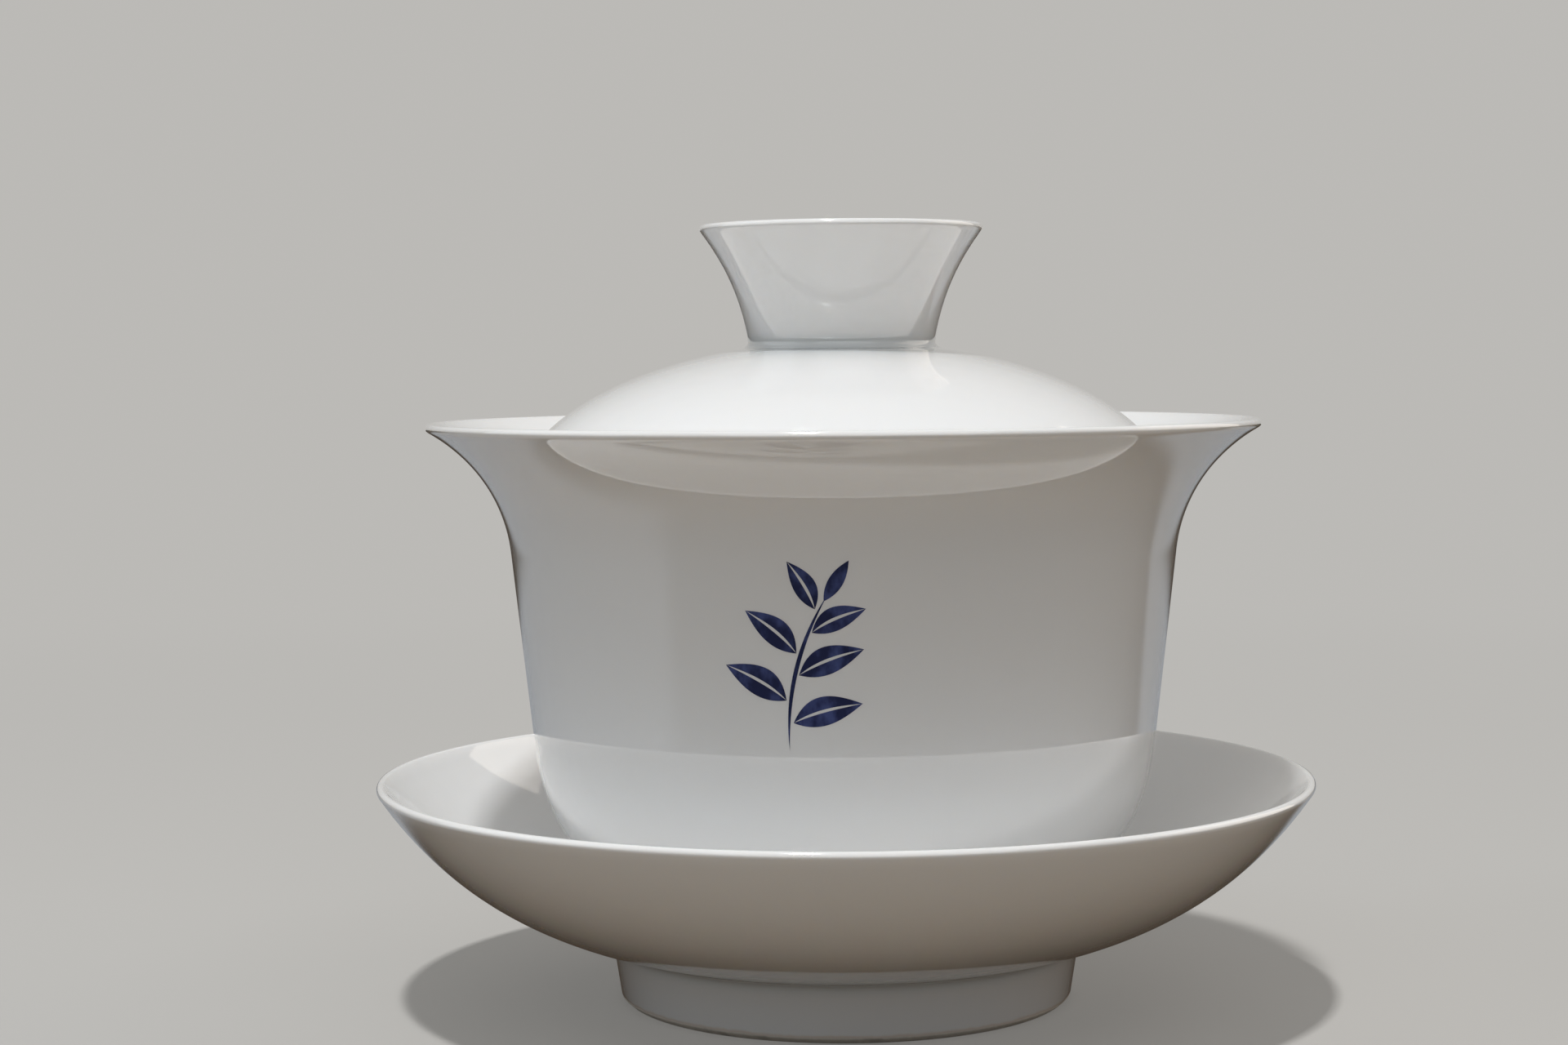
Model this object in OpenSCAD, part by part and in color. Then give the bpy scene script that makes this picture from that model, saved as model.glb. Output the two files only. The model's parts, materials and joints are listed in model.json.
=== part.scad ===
// Gaiwan: a covered tea bowl on a saucer, in thin white porcelain.
// Every piece is turned about +Z. The origin is the centre of the saucer's foot, on the table.
// Outlines are lists of [radius, height] points, walked with the clay on the left.

/* [Bowl] */
// Diameter across the bowl's rim
bowl_d = 100; // [84:1:125]
// Height of the bowl, from its foot to the top of its rim
bowl_h = 61.5; // [50:0.5:78]
// How far the rim stands out past the top of the wall
flare_out = 10; // [5:0.5:14]
// Height of the flare, measured down from the rim
flare_h = 15.6; // [10:0.2:20]
// Lean of the flare at the lip, from vertical
flare_lean = 60; // [40:1:72]
// Lean of the straight wall, from vertical
wall_lean = 6.3; // [0:0.1:12]
// Height above the foot where the wall starts to round in
belly_h = 22.5; // [16:0.5:28]
// Lean of the heel where it leaves the foot ring, from vertical
heel_lean = 66; // [50:1:78]
// Thickness of the wall at the heel
bowl_wall = 2.6; // [1.8:0.1:4]
// Thickness of the wall at the lip
bowl_lip = 1.1; // [0.8:0.1:2.4]
// Thickness of the floor in the middle
bowl_floor = 2.8; // [2:0.1:5]
// Least rise of the round between the floor and the wall
floor_round = 0.7; // [0.3:0.1:3]

/* [Bowl foot] */
// Diameter of the bowl's foot ring where it stands
bowl_foot_d = 47; // [36:0.5:58]
// Height of the bowl's foot ring
bowl_foot_h = 4.6; // [3:0.1:7]
// Width of the foot ring
bowl_foot_wall = 2.8; // [2:0.1:4]
// Depth of the recess inside the foot ring
bowl_recess = 3.4; // [1.5:0.1:5]

/* [Lid] */
// Depth of the lid's edge below the bowl's rim
lid_drop = 8.6; // [5:0.1:12]
// Rise of the dome, from its edge to its crown
lid_rise = 17.9; // [12:0.1:24]
// Angle round the dome's ellipse at which its edge is cut, 0 being vertical there
lid_edge_cut = 6; // [2:0.5:20]
// Thickness of the lid's edge
lid_lip = 1.8; // [1.2:0.1:2.6]
// Thickness of the lid at its crown
lid_crown = 2.7; // [2:0.1:4]
// Clearance between the lid's edge and the bowl
seat_gap = 0.25; // [0.1:0.05:0.5]

/* [Knob] */
// Diameter of the knob where it meets the lid
knob_base_d = 22.7; // [16:0.1:30]
// Diameter of the knob's flared top
knob_top_d = 34.2; // [24:0.1:44]
// Height of the knob
knob_h = 14.9; // [9:0.1:20]
// Lean of the knob's wall at its base, from vertical
knob_base_lean = 9; // [0:0.5:20]
// Lean of the knob's wall at its lip, from vertical
knob_lip_lean = 37; // [20:1:60]
// Thickness of the knob's wall at its base
knob_wall = 2.4; // [1.6:0.1:3.5]
// Thickness of the knob's wall at its lip
knob_lip = 1; // [0.8:0.1:2.4]
// Size of the slip fillet that lutes the knob to the lid
knob_fillet = 0.9; // [0.4:0.1:1.6]

/* [Saucer] */
// Diameter across the saucer's rim
saucer_d = 112.8; // [95:0.2:140]
// Height of the saucer, from the table to the top of its rim
saucer_h = 27; // [20:0.5:36]
// Lean of the dish where it leaves the foot, from vertical
dish_lean = 76; // [64:1:84]
// Lean of the dish at its rim, from vertical
dish_rim_lean = 34; // [20:1:60]
// Thickness of the dish beside the foot
saucer_wall = 2.8; // [2:0.1:4]
// Thickness of the dish at its rim
saucer_lip = 1.1; // [0.8:0.1:2.6]
// Thickness of the floor of the well
saucer_floor = 3; // [2:0.1:5]
// Clearance round the bowl's foot in the well
well_gap = 0.8; // [0.4:0.1:2]
// Width of the rounded edge of the well
well_round = 2.4; // [1:0.1:4]

/* [Saucer foot] */
// How far the saucer's foot ring stands out past the well above it
saucer_foot_out = 2.9; // [1:0.1:6]
// Height of the saucer's foot ring
saucer_foot_h = 7; // [4:0.1:10]
// Width of the foot ring
saucer_foot_wall = 3; // [2:0.1:4.5]
// Depth of the recess inside the foot ring
saucer_recess = 5.4; // [2.5:0.1:7]

/* [Foot rings] */
// Lean of both foot rings' sides, from vertical
foot_lean = 9; // [0:1:14]
// Bevel along the edges of both foot rings
foot_bevel = 0.6; // [0.3:0.1:1]
// Size of the fillet where a foot ring meets what it carries
foot_fillet = 0.9; // [0.4:0.1:1.5]

/* [Hidden] */
$fn = 180;

// Steps along a long curve, and round a small edge
curve_steps = 28;
edge_steps = 8;
// Reach of a curve's handles, as a share of the straight line between its ends
even_pull = 0.36;
heel_pull = 0.42;

porcelain = "#f2f2ee";

// Heights of the pieces above the table
well_z = saucer_recess + saucer_floor;
rim_z = well_z + bowl_h;

// Curves and edges

// Unit step in a direction that leans outwards from vertical
function lean(angle) = [sin(angle), cos(angle)];

// Smooth curve from p to q that leaves p and reaches q at the leans given
function sweep(p, lean_p, q, lean_q, pull = even_pull, steps = curve_steps) =
    let (reach = pull * norm(q - p),
         a = p + reach * lean(lean_p),
         b = q - reach * lean(lean_q))
    [for (i = [0 : steps])
        let (t = i / steps, u = 1 - t)
        u * u * u * p + 3 * u * u * t * a + 3 * u * t * t * b + t * t * t * q];

// Unit normal on the clay's side of a path, at its point i
function inward(path, i) =
    let (step = path[min(i + 1, len(path) - 1)] - path[max(i - 1, 0)])
    [-step[1], step[0]] / norm(step);

// The path moved into the clay by a wall that changes evenly from one end to the other
function inset(path, wall_start, wall_end) =
    [for (i = [0 : len(path) - 1])
        path[i] + inward(path, i) * (wall_start + (wall_end - wall_start) * i / (len(path) - 1))];

// Half-round edge from point a to point b, without its ends
function half_round(a, b) =
    let (centre = (a + b) / 2, radius = norm(b - a) / 2, start = atan2(a[1] - b[1], a[0] - b[0]))
    [for (i = [1 : edge_steps - 1])
        let (angle = start + 180 * i / edge_steps)
        centre + radius * [cos(angle), sin(angle)]];

function reverse(path) = [for (i = [len(path) - 1 : -1 : 0]) path[i]];

// Lean of a path at its start
function path_lean(path) = atan2(path[1][0] - path[0][0], path[1][1] - path[0][1]);

// Path without its first point, to join it to a path that ends there
function rest(path) = [for (i = [1 : len(path) - 1]) path[i]];

// Underside with a foot ring, from the axis across the recess and round the ring
// to the end of the fillet below a wall that rises at the lean given
function foot_ring(stand_r, ring_h, ring_wall, recess, base_z, rise_lean) =
    let (inner_r = stand_r - ring_wall,
         side = tan(foot_lean),
         recess_r = inner_r - recess * side,
         corner = [stand_r + ring_h * side, base_z + ring_h])
    [[0, base_z + recess],
     each sweep([recess_r - foot_bevel, base_z + recess], 90,
                [recess_r + foot_bevel * side, base_z + recess - foot_bevel], 180 - foot_lean,
                steps = edge_steps),
     [inner_r - foot_bevel * side, base_z + foot_bevel],
     [inner_r + foot_bevel, base_z],
     [stand_r - foot_bevel, base_z],
     [stand_r + foot_bevel * side, base_z + foot_bevel],
     each sweep(corner - foot_fillet * lean(foot_lean), foot_lean,
                corner + foot_fillet * lean(rise_lean), rise_lean,
                steps = edge_steps)];

module turned(outline) {
    rotate_extrude() polygon(outline);
}

// Saucer: a dish on a foot ring, with a sunk well that holds the bowl's foot

well_r = bowl_foot_d / 2 + well_gap;
saucer_under = foot_ring(well_r + saucer_foot_out, saucer_foot_h, saucer_foot_wall,
                         saucer_recess, 0, dish_lean);
dish_start = saucer_under[len(saucer_under) - 1];
dish_rim_centre = [saucer_d / 2 - saucer_lip / 2, saucer_h - saucer_lip / 2];
dish_end = dish_rim_centre + saucer_lip / 2 * lean(dish_rim_lean + 90);
dish_outside = sweep(dish_start, dish_lean, dish_end, dish_rim_lean);
dish_inside = inset(dish_outside, saucer_wall, saucer_lip);
// The dish comes down to the rounded edge of the well
dish_skin = [for (p = dish_inside) if (p[0] > well_r + well_round) p];
well_edge = sweep([well_r, well_z], 90, dish_skin[0], path_lean(dish_skin), steps = edge_steps);

module saucer() {
    color(porcelain)
        turned([
            each saucer_under,
            each rest(dish_outside),
            each half_round(dish_outside[curve_steps], dish_inside[curve_steps]),
            each reverse(dish_skin),
            each rest(reverse(well_edge)),
            [0, well_z]
        ]);
}

// Bowl: a rounded heel, a nearly straight wall and a flared rim, on a foot ring

bowl_under = foot_ring(bowl_foot_d / 2, bowl_foot_h, bowl_foot_wall, bowl_recess, well_z, heel_lean);
heel_start = bowl_under[len(bowl_under) - 1];
wall_top = [bowl_d / 2 - flare_out, rim_z - flare_h];
belly_z = well_z + belly_h;
wall_foot = [wall_top[0] - (wall_top[1] - belly_z) * tan(wall_lean), belly_z];
rim_centre = [bowl_d / 2 - bowl_lip / 2, rim_z - bowl_lip / 2];
rim_outside = rim_centre + bowl_lip / 2 * lean(flare_lean + 90);
heel = sweep(heel_start, heel_lean, wall_foot, wall_lean, pull = heel_pull);
flare = sweep(wall_top, wall_lean, rim_outside, flare_lean);
bowl_outside = concat(heel, flare);
bowl_inside = inset(bowl_outside, bowl_wall, bowl_lip);
bowl_top = len(bowl_outside) - 1;
floor_z = well_z + bowl_recess + bowl_floor;
// The inside comes down to a round that runs out level on the floor
tea_skin = [for (p = bowl_inside) if (p[1] > floor_z + floor_round) p];
floor_slope = 90 - path_lean(tea_skin);
floor_run = (tea_skin[0][1] - floor_z) / tan(floor_slope / 2);
floor_edge = sweep([tea_skin[0][0] - floor_run, floor_z], 90, tea_skin[0], 90 - floor_slope,
                   steps = edge_steps);

module bowl() {
    color(porcelain)
        turned([
            each bowl_under,
            each rest(bowl_outside),
            each half_round(bowl_outside[bowl_top], bowl_inside[bowl_top]),
            each reverse(tea_skin),
            each rest(reverse(floor_edge)),
            [0, floor_z]
        ]);
}

// Lid: an elliptical dome whose rounded edge sits on the inside of the bowl's flare

lid_z = rim_z - lid_drop;
// Where the middle of the lid's edge can lie, as [height, radius], clear of the flare by the seat's gap
seat_path = inset(bowl_inside, lid_lip / 2 + seat_gap, lid_lip / 2 + seat_gap);
seat_r = lookup(lid_z, [for (p = seat_path) [p[1], p[0]]]);
dome_r = (seat_r + lid_lip / 2) / cos(lid_edge_cut);
dome_h = lid_rise / (1 - sin(lid_edge_cut));
// The dome leans in at its edge, so its outside starts a little above the middle of the edge
dome_edge_lean = atan2(dome_r * sin(lid_edge_cut), dome_h * cos(lid_edge_cut));
dome_z = lid_z + lid_lip / 2 * sin(dome_edge_lean);

function dome(angle) = [dome_r * cos(angle), dome_z + dome_h * (sin(angle) - sin(lid_edge_cut))];
function dome_arc(from, to) = [for (i = [0 : curve_steps]) dome(from + (to - from) * i / curve_steps)];

// Flat that is turned on the crown to take the knob
pad_r = knob_base_d / 2 + knob_fillet;
pad_angle = acos(pad_r / dome_r);
pad_z = dome(pad_angle)[1];
dome_outside = dome_arc(lid_edge_cut, pad_angle);
dome_inside = inset(dome_arc(lid_edge_cut, 90), lid_lip, lid_crown);

module lid() {
    color(porcelain)
        turned([
            [0, dome(90)[1] - lid_crown],
            each rest(reverse(dome_inside)),
            each half_round(dome_inside[0], dome_outside[0]),
            each dome_outside,
            [0, pad_z]
        ]);
}

// Knob: a flared ring, open at the top, luted to the flat on the lid's crown

knob_base = [knob_base_d / 2, pad_z + knob_fillet];
knob_lip_centre = [knob_top_d / 2 - knob_lip / 2, pad_z + knob_h - knob_lip / 2];
knob_lip_outside = knob_lip_centre + knob_lip / 2 * lean(knob_lip_lean + 90);
knob_outside = sweep(knob_base, knob_base_lean, knob_lip_outside, knob_lip_lean);
knob_inside = inset(knob_outside, knob_wall, knob_lip);
luted_outside = sweep([pad_r, pad_z], -90, knob_base, knob_base_lean, steps = edge_steps);
luted_inside = sweep(knob_inside[0], 180 + knob_base_lean, [knob_inside[0][0] - knob_fillet, pad_z], -90,
                     steps = edge_steps);

module lid_knob() {
    color(porcelain)
        turned([
            each luted_outside,
            each rest(knob_outside),
            each half_round(knob_outside[curve_steps], knob_inside[curve_steps]),
            each reverse(knob_inside),
            each rest(luted_inside)
        ]);
}

saucer();
bowl();
lid();
lid_knob();
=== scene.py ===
# %% [markdown]
# # A porcelain gaiwan
#
# A gaiwan is a covered tea bowl: a flared bowl, a domed lid with a ring knob and a footed
# saucer, all turned from thin white clay and covered in clear glaze. This lesson starts from
# the exact solids of the four pieces, gives them smooth turned surfaces, the finish of glazed
# porcelain and a small painted sprig, and lights them softly on a pale floor.

# %% Load the solids
import json
import math

import bmesh
import bpy
from mathutils import Matrix, Vector

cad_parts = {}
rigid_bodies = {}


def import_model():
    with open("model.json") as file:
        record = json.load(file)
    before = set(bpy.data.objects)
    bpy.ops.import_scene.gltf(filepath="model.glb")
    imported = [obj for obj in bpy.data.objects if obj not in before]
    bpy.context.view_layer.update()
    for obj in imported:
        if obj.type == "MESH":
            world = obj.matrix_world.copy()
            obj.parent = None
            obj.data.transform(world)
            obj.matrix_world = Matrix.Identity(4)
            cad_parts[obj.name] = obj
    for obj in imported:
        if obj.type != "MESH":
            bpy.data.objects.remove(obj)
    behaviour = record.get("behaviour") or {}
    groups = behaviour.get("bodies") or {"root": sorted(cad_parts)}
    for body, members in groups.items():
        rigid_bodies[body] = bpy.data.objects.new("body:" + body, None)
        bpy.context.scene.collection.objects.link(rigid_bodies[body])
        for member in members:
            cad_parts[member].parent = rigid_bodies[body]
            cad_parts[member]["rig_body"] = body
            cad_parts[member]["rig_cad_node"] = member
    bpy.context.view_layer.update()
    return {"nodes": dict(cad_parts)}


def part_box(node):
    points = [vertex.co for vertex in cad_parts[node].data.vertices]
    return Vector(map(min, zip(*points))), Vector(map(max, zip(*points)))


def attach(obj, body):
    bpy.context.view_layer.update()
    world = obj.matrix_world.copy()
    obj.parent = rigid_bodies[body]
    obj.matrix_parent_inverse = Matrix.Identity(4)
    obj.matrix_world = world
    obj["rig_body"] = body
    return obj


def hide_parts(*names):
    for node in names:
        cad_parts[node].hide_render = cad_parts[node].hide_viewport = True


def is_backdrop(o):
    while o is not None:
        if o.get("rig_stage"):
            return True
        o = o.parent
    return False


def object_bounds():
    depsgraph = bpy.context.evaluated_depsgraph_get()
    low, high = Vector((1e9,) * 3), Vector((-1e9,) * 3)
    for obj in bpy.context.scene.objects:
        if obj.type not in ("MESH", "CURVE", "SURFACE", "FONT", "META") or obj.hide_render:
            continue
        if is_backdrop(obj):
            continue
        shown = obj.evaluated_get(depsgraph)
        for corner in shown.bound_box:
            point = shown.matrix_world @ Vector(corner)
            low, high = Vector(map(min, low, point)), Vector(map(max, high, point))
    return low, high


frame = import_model()
# Blender counts in metres.
MM = 0.001
print("solids:", sorted(frame["nodes"]))

# %% [markdown]
# ## The camera
#
# The picture is taken from close by and from the height of the knob's foot, so the rims are
# thin ellipses and the flare of the bowl is seen from the side. The camera stands in front
# of the gaiwan, on the -Y side. It looks slightly down and slightly to the left, and it is
# not quite level. It could be aimed at a point with a constraint, but three plain turns also
# give the slight roll. They are made in one order: pan about the world's Z, tilt up from
# looking straight down, and roll about the camera's own line of sight.

# %% Place the camera
CAMERA_DISTANCE = 348.3 * MM
CAMERA_HEIGHT = 78.1 * MM
CAMERA_PAN = math.radians(1.17)
CAMERA_TILT = math.radians(3.39)
CAMERA_ROLL = math.radians(0.46)
CAMERA_LENS = 66.2
CAMERA_SENSOR = 36.0
CAMERA_NEAR = 10 * MM

bpy.ops.object.camera_add(location=(0, -CAMERA_DISTANCE, CAMERA_HEIGHT))
camera = bpy.context.object
camera.name = "camera"
pan = Matrix.Rotation(CAMERA_PAN, 4, "Z")
tilt = Matrix.Rotation(math.pi / 2 - CAMERA_TILT, 4, "X")
roll = Matrix.Rotation(-CAMERA_ROLL, 4, "Z")
camera.rotation_euler = (pan @ tilt @ roll).to_euler()
camera.data.sensor_width = CAMERA_SENSOR
camera.data.lens = CAMERA_LENS
camera.data.clip_start = CAMERA_NEAR
bpy.context.scene.camera = camera
print("camera at", [round(c, 3) for c in camera.location])

# %% [markdown]
# ## Turned surfaces
#
# The solids are made of loose triangles, which show as facets in a glossy glaze. Each piece
# was turned, so its true surface is one outline spun about the axis. A copy of the solid is
# cut on the plane of the axis, which leaves only that outline. Its sharp corners are rounded
# as glaze rounds them, and then it is spun again in many small steps. Remeshing or smoothing
# the triangles instead would blur the thin lips.

# %% Tools for working on one piece
def select_only(piece):
    """Deselect everything but this piece, which operators then act on."""
    bpy.ops.object.select_all(action="DESELECT")
    piece.select_set(True)
    bpy.context.view_layer.objects.active = piece


def select_points(piece, chosen):
    """In edit mode, select the points for which chosen(point) is true, and count them."""
    bpy.ops.mesh.select_mode(type="VERT")
    bpy.ops.mesh.select_all(action="DESELECT")
    mesh = bmesh.from_edit_mesh(piece.data)
    picked = [point for point in mesh.verts if chosen(point)]
    for point in picked:
        point.select_set(True)
    mesh.select_flush_mode()
    bmesh.update_edit_mesh(piece.data)
    return len(picked)


# %% Cut a solid down to its outline
JOIN = 0.001 * MM
CENTRE = (0, 0, 0)


def outline_of(node, name):
    """A new object, left in edit mode, that holds half of the cut through a solid."""
    select_only(frame["nodes"][node])
    bpy.ops.object.duplicate()
    piece = bpy.context.object
    piece.name = name
    piece.data.name = name
    bpy.ops.object.parent_clear(type="CLEAR")
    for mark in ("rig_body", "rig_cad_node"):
        del piece[mark]
    bpy.ops.object.mode_set(mode="EDIT")
    bpy.ops.mesh.select_all(action="SELECT")
    bpy.ops.mesh.remove_doubles(threshold=JOIN)
    bpy.ops.mesh.select_all(action="SELECT")
    bpy.ops.mesh.bisect(plane_co=CENTRE, plane_no=(1, 0, 0), clear_inner=True)
    bpy.ops.mesh.select_all(action="SELECT")
    bpy.ops.mesh.bisect(plane_co=CENTRE, plane_no=(0, 1, 0), clear_inner=True, clear_outer=True)
    select_points(piece, lambda point: abs(point.co.y) > JOIN or point.co.x < -JOIN)
    bpy.ops.mesh.delete(type="VERT")
    return piece


def turn_at(point):
    """Angle by which an outline turns at a point with two neighbours."""
    if len(point.link_edges) != 2:
        return 0.0
    before, after = [edge.other_vert(point).co - point.co for edge in point.link_edges]
    return math.pi - before.angle(after, math.pi)


# %% Spin an outline into a smooth piece
GLAZE_ROUND = 0.15 * MM
ROUND_STEPS = 3
CORNER = math.radians(30)
STRAIGHT = math.radians(0.05)
SMOOTH_ANGLE = math.radians(40)
TURN_STEPS = 216


def turned(node, name):
    """The finished turned piece that stands for a solid."""
    piece = outline_of(node, name)
    bpy.ops.mesh.select_all(action="SELECT")
    bpy.ops.mesh.dissolve_limited(angle_limit=STRAIGHT)
    corners = select_points(piece, lambda point: turn_at(point) > CORNER and point.co.x > JOIN)
    bpy.ops.mesh.bevel(offset=GLAZE_ROUND, segments=ROUND_STEPS, affect="VERTICES")
    bpy.ops.mesh.select_all(action="SELECT")
    bpy.ops.mesh.spin(steps=TURN_STEPS, angle=math.tau, center=CENTRE, axis=(0, 0, 1))
    bpy.ops.mesh.select_all(action="SELECT")
    bpy.ops.mesh.remove_doubles(threshold=JOIN)
    bpy.ops.mesh.normals_make_consistent(inside=False)
    bpy.ops.object.mode_set(mode="OBJECT")
    bpy.ops.object.shade_smooth_by_angle(angle=SMOOTH_ANGLE)
    piece.data.materials.clear()
    print(name, "corners rounded:", corners, "faces:", len(piece.data.polygons))
    return piece


saucer = turned("saucer", "saucer_porcelain")
bowl = turned("bowl", "bowl_porcelain")
lid = turned("lid", "lid_porcelain")
knob = turned("lid_knob", "knob_porcelain")

# %% [markdown]
# ## A painted sprig
#
# The front of the bowl carries a tea sprig painted in dark blue: a stem, three pairs of
# leaves and a bud, each leaf two strokes of the brush with a white vein between them. It
# could be a pattern in the glaze's colour, but a thin skin of paint has clean edges at any
# distance and can be exported as a mesh. Each stroke is drawn flat as a closed curve with one
# point at either end. The strokes are made one mesh, stood upright in front of the bowl, cut
# into narrow strips so that they can bend, and pressed onto the wall.

# %% Draw one stroke of the brush
STROKE_POINTS = 20


def stroke(start, angle, length, near, far, belly=1.0, taper=1.0):
    """A flat filled stroke, whose two edges bow sideways by near and far and meet at its ends."""
    along = Vector((math.cos(angle), math.sin(angle), 0))
    across = Vector((-along.y, along.x, 0))
    start = Vector((*start, 0))
    tip = start + along * length
    third = along * length / 3
    bpy.ops.object.select_all(action="DESELECT")
    bpy.ops.curve.primitive_bezier_curve_add()
    curve = bpy.context.object
    bpy.ops.object.mode_set(mode="EDIT")
    bpy.ops.curve.select_all(action="SELECT")
    bpy.ops.curve.cyclic_toggle()
    bpy.ops.curve.handle_type_set(type="FREE_ALIGN")
    bpy.ops.object.mode_set(mode="OBJECT")
    curve.data.dimensions = "2D"
    curve.data.fill_mode = "BOTH"
    curve.data.resolution_u = STROKE_POINTS
    first, last = curve.data.splines[0].bezier_points
    first.co, last.co = start, tip
    first.handle_right = start + third + across * near * belly
    last.handle_left = tip - third + across * near * taper
    last.handle_right = tip - third + across * far * taper
    first.handle_left = start + third + across * far * belly
    bpy.ops.object.convert(target="MESH")
    return bpy.context.object


# %% Paint the stem
STEM_START = (-2.2 * MM, -11.2 * MM)
STEM_ANGLE = math.radians(76)
STEM_LENGTH = 18.0 * MM
STEM_BOW = 1.9 * MM
STEM_WIDTH = 0.62 * MM


def on_stem(share):
    """A point on the middle of the stem, which bows as a parabola, as its handles make it."""
    along = Vector((math.cos(STEM_ANGLE), math.sin(STEM_ANGLE)))
    across = Vector((-along.y, along.x))
    bow = 3 * STEM_BOW * share * (1 - share)
    return Vector(STEM_START) + along * STEM_LENGTH * share + across * bow


stem_near = STEM_BOW + STEM_WIDTH / 2
stem_far = STEM_BOW - STEM_WIDTH / 2
strokes = [stroke(STEM_START, STEM_ANGLE, STEM_LENGTH, stem_near, stem_far)]
print("stem ends in mm:", [round(side / MM, 1) for side in on_stem(1)])

# %% Paint the leaves and the bud
VEIN = 0.22 * MM
STALK = 0.5 * MM
LEAF_BELLY = 1.25
LEAF_TAPER = 0.75
# Share of the stem, then angle in degrees, and length, half width and bow in mm of each leaf.
LEAVES = (
    (0.16, 16, 7.8, 2.1, 0.5),
    (0.29, 150, 7.6, 2.1, -0.5),
    (0.45, 22, 7.6, 2.0, 0.5),
    (0.58, 140, 7.2, 1.9, -0.5),
    (0.72, 24, 6.4, 1.7, 0.5),
    (0.86, 120, 6.0, 1.6, -0.4),
)
BUD_START = 0.94
BUD_LENGTH = 5.2 * MM
BUD_WIDTH = 0.95 * MM

for share, degrees, length, width, bow in LEAVES:
    angle = math.radians(degrees)
    base = on_stem(share) + Vector((math.cos(angle), math.sin(angle))) * STALK
    for side in (1, -1):
        near = bow * MM + side * VEIN
        far = bow * MM + side * width * MM
        strokes.append(stroke(base, angle, length * MM, near, far, LEAF_BELLY, LEAF_TAPER))
# The bud goes on in the direction that the parabola has at the tip of the stem.
bud_angle = STEM_ANGLE - math.atan(3 * STEM_BOW / STEM_LENGTH)
strokes.append(stroke(on_stem(BUD_START), bud_angle, BUD_LENGTH, BUD_WIDTH, -BUD_WIDTH, LEAF_BELLY))
print("strokes:", len(strokes))

# %% Stand the sprig up in front of the bowl
SPRIG_X = -3.7 * MM
SPRIG_FRONT = -60 * MM
SPRIG_Z = 46.0 * MM

bpy.ops.object.select_all(action="DESELECT")
for piece in strokes:
    piece.select_set(True)
sprig = strokes[0]
bpy.context.view_layer.objects.active = sprig
bpy.ops.object.join()
sprig.name = "bowl_sprig"
sprig.data.name = "bowl_sprig"
sprig.rotation_euler = (math.pi / 2, 0, 0)
sprig.location = (SPRIG_X, SPRIG_FRONT, SPRIG_Z)
bpy.ops.object.transform_apply(location=True, rotation=True, scale=True)
sides = list(zip(*(point.co for point in sprig.data.vertices)))
reach = [(min(side), max(side)) for side in sides]
print("sprig reaches in mm:", [(round(a / MM, 1), round(b / MM, 1)) for a, b in reach])

# %% Cut it into narrow strips
STRIP = 0.7 * MM
BAND = 1.5 * MM

bpy.ops.object.mode_set(mode="EDIT")
for axis, spacing in ((0, STRIP), (2, BAND)):
    low, high = reach[axis]
    normal = [0, 0, 0]
    normal[axis] = 1
    for cut in range(1, math.ceil((high - low) / spacing)):
        place = [0, 0, 0]
        place[axis] = low + cut * spacing
        bpy.ops.mesh.select_all(action="SELECT")
        bpy.ops.mesh.bisect(plane_co=place, plane_no=normal)
bpy.ops.mesh.select_all(action="SELECT")
bpy.ops.mesh.remove_doubles(threshold=JOIN)
bpy.ops.object.mode_set(mode="OBJECT")
if sprig.data.polygons[0].normal.y > 0:
    sprig.data.flip_normals()
print("strips and bands:", len(sprig.data.polygons))

# %% Press it onto the wall
PAINT_PROUD = 0.02 * MM
PAINT_SKIN = 0.04 * MM

press = sprig.modifiers.new("press", "SHRINKWRAP")
press.target = bowl
press.wrap_method = "PROJECT"
press.use_project_y = True
press.use_positive_direction = True
press.use_negative_direction = False
press.offset = PAINT_PROUD
bpy.ops.object.modifier_apply(modifier="press")
skin = sprig.modifiers.new("skin", "SOLIDIFY")
skin.thickness = PAINT_SKIN
skin.offset = -1
bpy.ops.object.modifier_apply(modifier="skin")
bpy.ops.object.mode_set(mode="EDIT")
bpy.ops.mesh.select_all(action="SELECT")
bpy.ops.mesh.normals_make_consistent(inside=False)
bpy.ops.object.mode_set(mode="OBJECT")
bpy.ops.object.shade_smooth_by_angle(angle=SMOOTH_ANGLE)
sprig.data.materials.clear()
print("sprig faces:", len(sprig.data.polygons))

# %% [markdown]
# ## Materials as expressions
#
# A material is a graph of nodes, which is slow to read as a list of links. A small class
# wraps one output of a node, so that the graph can be written as Python arithmetic: each
# plus, minus or times adds a Math node. Everything else comes from one method that adds any
# node. Three helpers name what the finishes need most: a smooth step, a cloudy noise of a
# real size, and a blend of two colours.

# %% A wire that can be calculated with
def feed(node, inputs):
    """Link wires to the inputs of a node, and set the others to plain values."""
    for name, value in inputs.items():
        if isinstance(value, Wire):
            value.tree.links.new(value.socket, node.inputs[name])
        else:
            node.inputs[name].default_value = value


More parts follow.
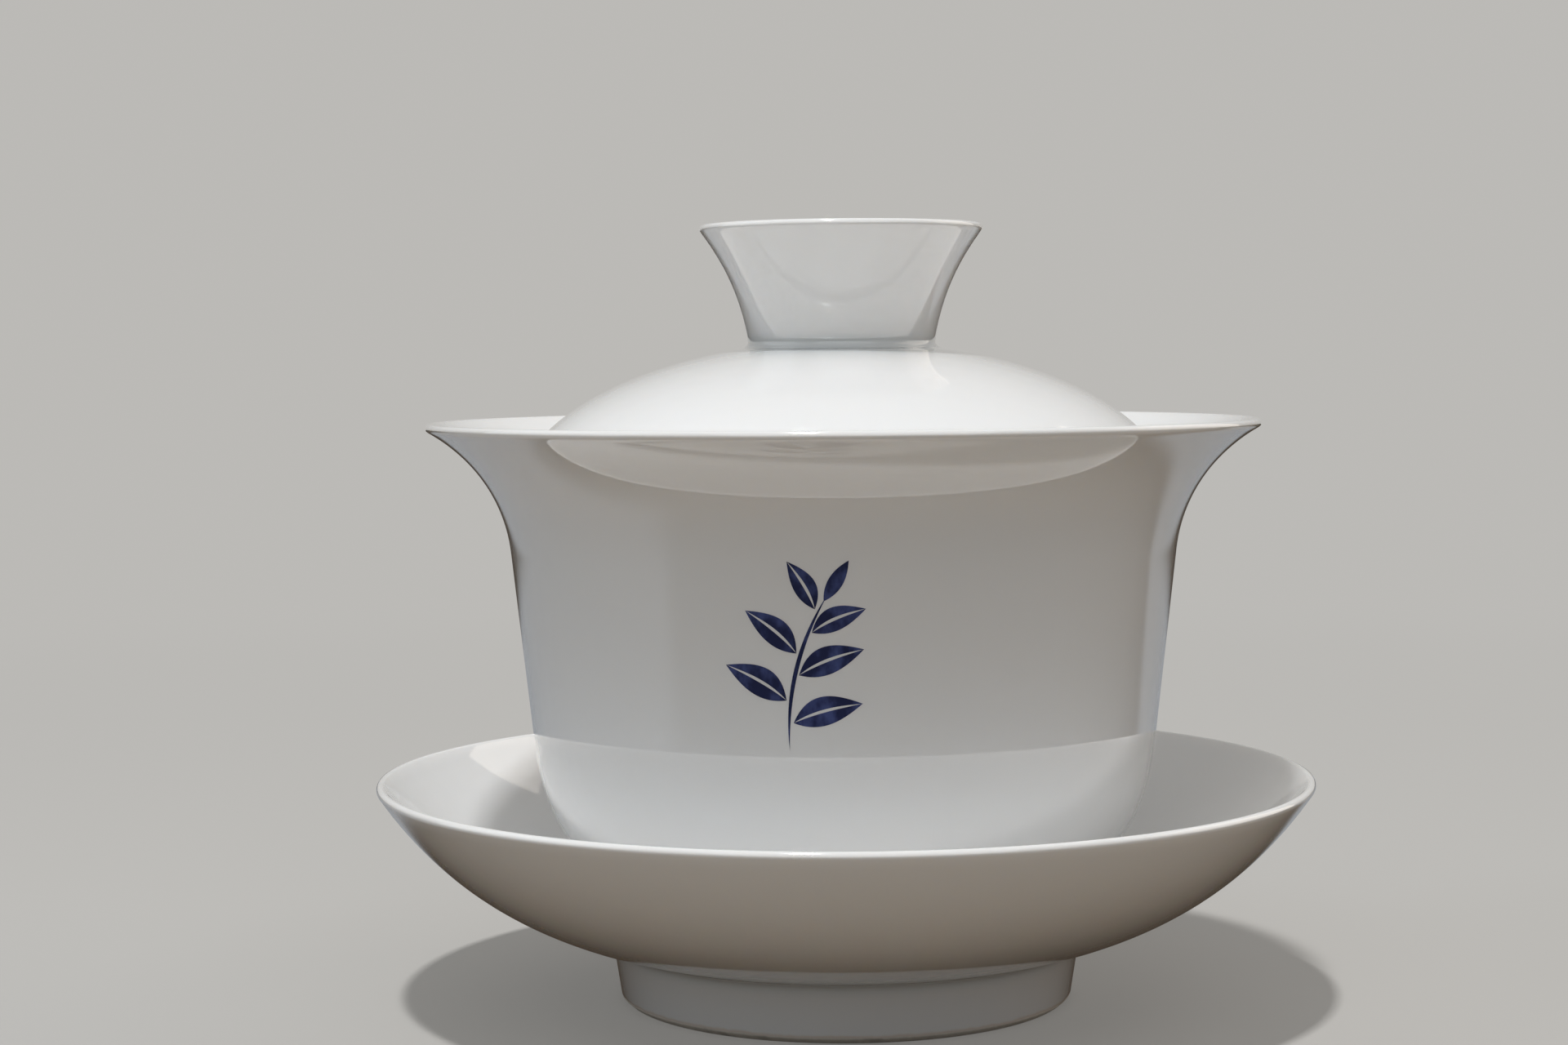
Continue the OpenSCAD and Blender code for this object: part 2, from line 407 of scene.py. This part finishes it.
class Wire:
    """One output of a node. Arithmetic on wires adds Math nodes to their tree."""

    def __init__(self, tree, socket=None):
        self.tree = tree
        self.socket = socket

    def add(self, kind, settings=None, inputs=None, output=0):
        """Add a node of any kind: first its settings, then the values or wires of its inputs."""
        node = self.tree.nodes.new(kind)
        for name, value in (settings or {}).items():
            setattr(node, name, value)
        feed(node, inputs or {})
        return Wire(self.tree, node.outputs[output])

    def math(self, operation, first, second=0.0):
        return self.add("ShaderNodeMath", {"operation": operation}, {0: first, 1: second})

    def __add__(self, other):
        return self.math("ADD", self, other)

    def __radd__(self, other):
        return self.math("ADD", other, self)

    def __sub__(self, other):
        return self.math("SUBTRACT", self, other)

    def __rsub__(self, other):
        return self.math("SUBTRACT", other, self)

    def __mul__(self, other):
        return self.math("MULTIPLY", self, other)

    def __rmul__(self, other):
        return self.math("MULTIPLY", other, self)

    def __abs__(self):
        return self.math("ABSOLUTE", self)


# %% Helpers for the finishes
def step(value, low, high):
    """0 below low, 1 above high and a smooth step between them."""
    settings = {"interpolation_type": "SMOOTHSTEP"}
    return value.add("ShaderNodeMapRange", settings, {"Value": value, "From Min": low, "From Max": high})


def cloud(place, size, detail=2.0):
    """Noise between 0 and 1 with patches of about this size in metres."""
    return place.add("ShaderNodeTexNoise", {}, {"Vector": place, "Scale": 1 / size, "Detail": detail})


def blend(factor, first, second):
    """A colour between two colours."""
    return factor.add("ShaderNodeMix", {"data_type": "RGBA"}, {0: factor, 6: first, 7: second}, output=2)


def new_material(name):
    """A material, the wire of its Object coordinates and its main shader."""
    material = bpy.data.materials.new(name)
    material.use_nodes = True
    tree = material.node_tree
    place = Wire(tree).add("ShaderNodeTexCoord", output="Object")
    return material, place, tree.nodes["Principled BSDF"]


# %% [markdown]
# ## Glazed porcelain
#
# The clay is white and fine, and the glaze on it is clear, glossy and never quite even. It
# gathers in the corners, where it looks a little blue, and there its colour is also painted
# darker as the shade that falls into those corners. It runs thin over the lips, where the
# warmer clay shows, and there its colour is painted a little lighter as a highlight. The ring
# that a piece stands on in the kiln is wiped clean of glaze: there the clay is bare, matt and
# grainy, with a toasted line where the glaze ends and grey scuffs from use. One white all over
# would be quicker, but porcelain is known by these changes. Each of them comes at a certain
# height on a turned piece, so a height with a little noise in it says where they are.

# %% A height that wavers
WAVER_SIZE = 2.2 * MM
WAVER_REACH = 0.5 * MM


def wavering_height(place):
    """The height of a point, shifted by a noise so that no line on the glaze is even."""
    height = place.add("ShaderNodeSeparateXYZ", {}, {"Vector": place}, output="Z")
    return height + (cloud(place, WAVER_SIZE) - 0.5) * WAVER_REACH


# %% Colour of the glaze
GLAZE_COOL = (0.785, 0.795, 0.800, 1)
GLAZE_WARM = (0.810, 0.805, 0.796, 1)
# Pooled glaze, darkened too as painted shade in the corners, and thin glaze at the lips, lightened too
# as a painted highlight.
GLAZE_POOLED_SHADE = (0.660, 0.700, 0.710, 1)
GLAZE_THIN_LIT = (0.830, 0.828, 0.820, 1)
CLAY_TOAST = (0.610, 0.440, 0.300, 1)
TINT_SIZE = 34 * MM
POOL_SHADE_FULL = 0.3 * MM
POOL_SHADE_REACH = 1.8 * MM
POOL_SHADE_SHARE = 0.6
THIN_LIT_FULL = 0.2 * MM
THIN_LIT_REACH = 1.4 * MM
THIN_LIT_SHARE = 0.7
TOAST_REACH = 0.45 * MM
TOAST_SHARE = 0.5


def glaze_colour(place, height, bare_to, pool_shade_at, lip_at):
    """White that drifts from cool to warm, with its toasted places, its pooled corners painted darker
    with shade and its thin lips painted lighter as a highlight.
    """
    colour = blend(cloud(place, TINT_SIZE), GLAZE_COOL, GLAZE_WARM)
    # Glaze pools about this height and looks blue there; the colour is also painted darker there as the
    # shade that falls into the corner.
    pooled_and_shaded = 1 - step(abs(height - pool_shade_at), POOL_SHADE_FULL, POOL_SHADE_REACH)
    colour = blend(pooled_and_shaded * POOL_SHADE_SHARE, colour, GLAZE_POOLED_SHADE)
    # The glaze runs thin towards the lip, and the colour there is painted lighter as a highlight.
    thin_and_lit = step(height, lip_at - THIN_LIT_REACH, lip_at - THIN_LIT_FULL)
    colour = blend(thin_and_lit * THIN_LIT_SHARE, colour, GLAZE_THIN_LIT)
    toasted = 1 - step(height, bare_to, bare_to + TOAST_REACH)
    return blend(toasted * TOAST_SHARE, colour, CLAY_TOAST)


# %% Colour of the bare clay
CLAY_PALE = (0.700, 0.655, 0.585, 1)
CLAY_GREY = (0.520, 0.485, 0.435, 1)
CLAY_SCUFF = (0.330, 0.310, 0.285, 1)
FLECK_SIZE = 0.7 * MM
SCUFF_SIZE = 3.5 * MM
SCUFF_FROM = 0.52
SCUFF_FULL = 0.68
SCUFF_SHARE = 0.5


def clay_colour(place):
    """Pale clay with fine grey flecks, and scuffs where the noise is highest."""
    colour = blend(cloud(place, FLECK_SIZE, detail=4.0), CLAY_PALE, CLAY_GREY)
    scuffed = step(cloud(place, SCUFF_SIZE, detail=4.0), SCUFF_FROM, SCUFF_FULL)
    return blend(scuffed * SCUFF_SHARE, colour, CLAY_SCUFF)


# %% [markdown]
# ## The skin of the glaze
#
# The glaze swells and dips by hundredths of a millimetre over a centimetre, which bends
# reflections, with a finer ripple like orange peel. That is far too shallow to model, so it
# is a bump, with its heights in metres as in the mesh. The clear skin over the colour is the
# shader's coat: it mirrors sharply while the layer under it stays softer, and it ends where
# the clay is bare. Thin porcelain also lets some light into the wall, which softens its
# shadows.

# %% Swell of the glaze and grain of the clay
SWELL_SIZE = 11 * MM
SWELL_HEIGHT = 0.018 * MM
PEEL_SIZE = 1.3 * MM
PEEL_HEIGHT = 0.0007 * MM
GRAIN_SIZE = 0.25 * MM
GRAIN_HEIGHT = 0.03 * MM


def skin_bump(place, bare):
    """The bump of swelling glaze, or of grainy clay where the piece is bare."""
    swell = cloud(place, SWELL_SIZE) * SWELL_HEIGHT + cloud(place, PEEL_SIZE) * PEEL_HEIGHT
    grain = cloud(place, GRAIN_SIZE, detail=3.0) * GRAIN_HEIGHT
    height = swell * (1 - bare) + grain * bare
    return place.add("ShaderNodeBump", {}, {"Height": height, "Distance": 1.0})


# %% Porcelain with its glaze
GLAZE_END = 0.04 * MM
GLOSS_SIZE = 14 * MM
GLAZE_ROUGHNESS = 0.045
GLAZE_UNEVEN = 0.05
CLAY_ROUGHER = 0.7
GLAZE_IOR = 1.52
COAT_IOR = 1.6
COAT_ROUGHNESS = 0.03
INNER_LIGHT = 0.15
INNER_LIGHT_TINT = (1.0, 0.85, 0.7)
INNER_LIGHT_DEPTH = 2.5 * MM


def glazed(name, bare_to, pool_shade_at, lip_at):
    """Porcelain that is bare up to one height, pooled with glaze and painted with shade about another,
    and thin and painted lighter as a highlight at a lip.
    """
    material, place, shader = new_material(name)
    height = wavering_height(place)
    bare = 1 - step(height, bare_to - GLAZE_END, bare_to + GLAZE_END)
    glaze = glaze_colour(place, height, bare_to, pool_shade_at, lip_at)
    roughness = GLAZE_ROUGHNESS + cloud(place, GLOSS_SIZE) * GLAZE_UNEVEN
    feed(shader, {
        "Base Color": blend(bare, glaze, clay_colour(place)),
        "Roughness": roughness + bare * CLAY_ROUGHER,
        "Normal": skin_bump(place, bare),
        "Coat Weight": 1 - bare,
        "Coat Roughness": COAT_ROUGHNESS,
        "Coat IOR": COAT_IOR,
        "IOR": GLAZE_IOR,
        "Subsurface Weight": INNER_LIGHT,
        "Subsurface Radius": INNER_LIGHT_TINT,
        "Subsurface Scale": INNER_LIGHT_DEPTH,
    })
    print(name, "nodes:", len(material.node_tree.nodes))
    return material


# %% Glaze the four pieces
FOOT_BARE = 0.75 * MM
LID_EDGE_BARE = 0.7 * MM
SAUCER_FOOT_TOP = 7.0 * MM
BOWL_FOOT_TOP = 4.6 * MM
KNOB_SEAM = 0.4 * MM
# Heights that no piece reaches, for a knob with no bare ring and a lid with no lip.
UNDER_ALL = -1.0
OVER_ALL = 1.0

saucer_low, saucer_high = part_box("saucer")
bowl_low, bowl_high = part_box("bowl")
lid_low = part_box("lid")[0]
knob_low, knob_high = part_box("lid_knob")
for piece, bare_to, pool_shade_at, lip_at in (
    (saucer, saucer_low.z + FOOT_BARE, saucer_low.z + SAUCER_FOOT_TOP, saucer_high.z),
    (bowl, bowl_low.z + FOOT_BARE, bowl_low.z + BOWL_FOOT_TOP, bowl_high.z),
    (lid, lid_low.z + LID_EDGE_BARE, knob_low.z + KNOB_SEAM, OVER_ALL),
    (knob, UNDER_ALL, knob_low.z + KNOB_SEAM, knob_high.z),
):
    piece.data.materials.append(glazed("glaze_of_" + piece.name, bare_to, pool_shade_at, lip_at))

# %% [markdown]
# ## Cobalt paint
#
# Blue painting on porcelain is cobalt oxide in the glaze: nearly black where the brush was
# full and a clearer blue where it ran dry. One dark blue would look printed. The strokes are
# short, so a noise of about their width, drawn out upwards, gives each one darker and lighter
# parts. The paint is as glossy as the glaze around it.

# %% Cobalt for the sprig
COBALT_FULL = (0.018, 0.024, 0.075, 1)
COBALT_WASH = (0.075, 0.100, 0.270, 1)
BRUSH_PULL = (1.0, 1.0, 0.6)
DRY_SIZE = 1.7 * MM
DRY_FROM = 0.40
DRY_FULL = 0.72
DRY_SHARE = 0.75
PAINT_GLOSS_SIZE = 2 * MM
PAINT_ROUGHNESS = 0.05
PAINT_UNEVEN = 0.06

cobalt, place, shader = new_material("cobalt")
pulled = place.add("ShaderNodeVectorMath", {"operation": "MULTIPLY"}, {0: place, 1: BRUSH_PULL})
dry = step(cloud(pulled, DRY_SIZE, detail=3.0), DRY_FROM, DRY_FULL)
feed(shader, {
    "Base Color": blend(dry * DRY_SHARE, COBALT_FULL, COBALT_WASH),
    "Roughness": PAINT_ROUGHNESS + cloud(place, PAINT_GLOSS_SIZE) * PAINT_UNEVEN,
    "IOR": GLAZE_IOR,
})
sprig.data.materials.append(cobalt)
print("cobalt nodes:", len(cobalt.node_tree.nodes))

# %% [markdown]
# ## The stage
#
# The floor is one wide pale disc. Lamps fall off with distance, so a real floor and wall
# would darken behind the gaiwan and show a horizon. Here the world is the backdrop: rays that
# come from the camera, or from a reflection, see it in one pale colour, and the floor fades
# into the same colour a little way out. A share of that colour is mixed in close by too,
# which keeps the shadow light. All other rays see a weaker glow, which softens the shade on
# the porcelain. The floor also gives back less light than it shows, and warmer light, because
# white ware lit strongly from below looks flat.

# %% Helpers for the stage
DISC_SIDES = 128


def is_seen(wire):
    """1 for rays from the camera, a reflection or a glass, and 0 for rays that light a surface."""
    seen = wire.add("ShaderNodeLightPath", output="Is Camera Ray")
    for kind in ("Is Glossy Ray", "Is Transmission Ray"):
        seen = seen.math("MAXIMUM", seen, seen.add("ShaderNodeLightPath", output=kind))
    return seen


def distance_out(place):
    """How far a point lies from the axis of the gaiwan, on a disc that lies flat at its foot."""
    return place.add("ShaderNodeVectorMath", {"operation": "LENGTH"}, {0: place}, output="Value")


def disc(name, radius, height=0.0):
    """A flat disc round the axis, with its place in its mesh."""
    bpy.ops.object.select_all(action="DESELECT")
    bpy.ops.mesh.primitive_circle_add(vertices=DISC_SIDES, radius=radius, fill_type="NGON")
    flat = bpy.context.object
    flat.name = name
    flat.location.z = height
    bpy.ops.object.transform_apply(location=True)
    print(name, "radius in m:", radius)
    return flat


# %% Lay the floor
BACKDROP = (0.50, 0.49, 0.47, 1)
FLOOR_COLOUR = (0.46, 0.45, 0.43, 1)
FLOOR_BOUNCE = (0.24, 0.195, 0.147, 1)
FLOOR_ROUGHNESS = 0.9
FLOOR_SHINE = 0.2
FLOOR_RADIUS = 6.0
FADE_NEAR = 0.12
FADE_FAR = 0.55
FADE_SHARE = 0.25

floor = disc("floor", FLOOR_RADIUS)
paper, place, shader = new_material("paper")
feed(shader, {
    "Base Color": blend(is_seen(place), FLOOR_BOUNCE, FLOOR_COLOUR),
    "Roughness": FLOOR_ROUGHNESS,
    "Specular IOR Level": FLOOR_SHINE,
})
lit = Wire(paper.node_tree, shader.outputs["BSDF"])
plain = place.add("ShaderNodeEmission", {}, {"Color": BACKDROP})
fade = FADE_SHARE + step(distance_out(place), FADE_NEAR, FADE_FAR) * (1 - FADE_SHARE)
faded = place.add("ShaderNodeMixShader", {}, {0: fade * is_seen(place), 1: lit, 2: plain})
feed(paper.node_tree.nodes["Material Output"], {"Surface": faded})
floor.data.materials.append(paper)
floor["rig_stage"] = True

# %% Hang the backdrop
WORLD_GLOW = 0.19

world = bpy.data.worlds.new("backdrop")
bpy.context.scene.world = world
world.use_nodes = True
sky = Wire(world.node_tree)
glow = sky.add("ShaderNodeBackground", {}, {"Color": (1, 1, 1, 1), "Strength": WORLD_GLOW})
pale = sky.add("ShaderNodeBackground", {}, {"Color": BACKDROP, "Strength": 1.0})
seen_sky = sky.add("ShaderNodeMixShader", {}, {0: is_seen(sky), 1: glow, 2: pale})
feed(world.node_tree.nodes["World Output"], {"Surface": seen_sky})
print("backdrop nodes:", len(world.node_tree.nodes))

# %% [markdown]
# ## Something dark to mirror
#
# White glaze on a pale floor has only pale things to mirror, and then it looks matt. In a
# studio a black card is laid just outside the picture. Here a dark card lies round the gaiwan
# for reflections alone: the camera doesn't see it, it casts no shadow and it throws no light
# back. A pale patch on its left puts a soft upright band of light on that side of the wall.

# %% Lay the dark card
CARD_DARK = (0.050, 0.038, 0.028, 1)
CARD_PALE = (0.300, 0.315, 0.335, 1)
CARD_RADIUS = 1.5
CARD_LIFT = 0.3 * MM
PATCH_TURN = math.radians(56)
PATCH_FROM = 88 * MM
PATCH_TO = 430 * MM
PATCH_FADE = 14 * MM
PATCH_END_FADE = 80 * MM

card = disc("dark_card", CARD_RADIUS, CARD_LIFT)
card_paper, place = new_material("card_paper")[:2]
patch_side = (-math.cos(PATCH_TURN), math.sin(PATCH_TURN), 0)
dot = {"operation": "DOT_PRODUCT"}
past_edge = place.add("ShaderNodeVectorMath", dot, {0: place, 1: patch_side}, output="Value")
distance = distance_out(place)
patch = step(past_edge, -PATCH_FADE, PATCH_FADE)
patch = patch * step(distance, PATCH_FROM - PATCH_FADE, PATCH_FROM + PATCH_FADE)
patch = patch * (1 - step(distance, PATCH_TO - PATCH_END_FADE, PATCH_TO + PATCH_END_FADE))
shown = place.add("ShaderNodeEmission", {}, {"Color": blend(patch, CARD_DARK, CARD_PALE)})
feed(card_paper.node_tree.nodes["Material Output"], {"Surface": shown})
card.data.materials.append(card_paper)
card.visible_camera = False
card.visible_diffuse = False
card.visible_shadow = False
card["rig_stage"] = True

# %% [markdown]
# ## The light
#
# The main lamp hangs high above the gaiwan, a little to the front and left. It makes the lid
# and the lips bright, leaves the wall of the bowl in soft shade, and throws the bowl's shadow
# into the saucer. Four wide panels fill the shade: a cool one on the left, a warm one on the
# right and a little to the back, a slightly cool one behind the camera and a white one behind
# the gaiwan. Smaller lamps would do as much, but white ware mirrors them as hard spots. The
# panel at the back would shine from every surface that the camera sees at a low angle, so
# reflections leave it out.

# %% Hang the lamps
AIM = Vector((0, 0, 0.05))
WHITE = (1.0, 1.0, 1.0)
COOL = (0.86, 0.94, 1.0)
SLIGHTLY_COOL = (0.93, 0.97, 1.0)
WARM = (1.0, 0.90, 0.80)


def soft_light(name, place, size, power, colour, mirrored=True):
    """A square lamp, in metres and watts, that points at the gaiwan and is out of the picture."""
    bpy.ops.object.light_add(type="AREA", location=place)
    lamp = bpy.context.object
    lamp.name = name
    lamp.rotation_euler = (AIM - Vector(place)).to_track_quat("-Z", "Y").to_euler()
    lamp.data.shape = "SQUARE"
    lamp.data.size = size
    lamp.data.energy = power
    lamp.data.color = colour
    lamp.visible_camera = False
    lamp.visible_glossy = mirrored
    print(name, "at", place, "power in W:", power)


soft_light("main_lamp", (-0.17, -0.37, 1.65), size=0.10, power=20.5, colour=WHITE)
soft_light("left_panel", (-1.20, -0.10, 0.60), size=1.3, power=3.0, colour=COOL)
soft_light("right_panel", (1.25, 0.45, 0.55), size=1.3, power=4.4, colour=WARM)
soft_light("front_panel", (0.10, -1.40, 0.80), size=2.1, power=7.0, colour=SLIGHTLY_COOL)
soft_light("back_panel", (0.20, 1.40, 0.50), size=1.2, power=4.6, colour=WHITE, mirrored=False)
bpy.context.scene.view_settings.view_transform = "Standard"

# %% [markdown]
# ## Fix the pieces to the moving bodies
#
# The bowl lifts off the saucer and the lid lifts off the bowl. Each finished piece rides on
# the body of the solid that it stands for, the knob with the lid and the sprig with the bowl.

# %% Ride on the bodies
for piece, node, body in (
    (saucer, "saucer", "saucer"),
    (bowl, "bowl", "bowl"),
    (lid, "lid", "lid"),
    (knob, "lid_knob", "lid"),
):
    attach(piece, body)
    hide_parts(node)
    print(piece.name, "rides on the", body)
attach(sprig, "bowl")
print(sprig.name, "rides on the bowl")

# %% Measure the size of the finished pieces
low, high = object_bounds()
print("visual size in mm:", [round(side / MM, 1) for side in high - low])
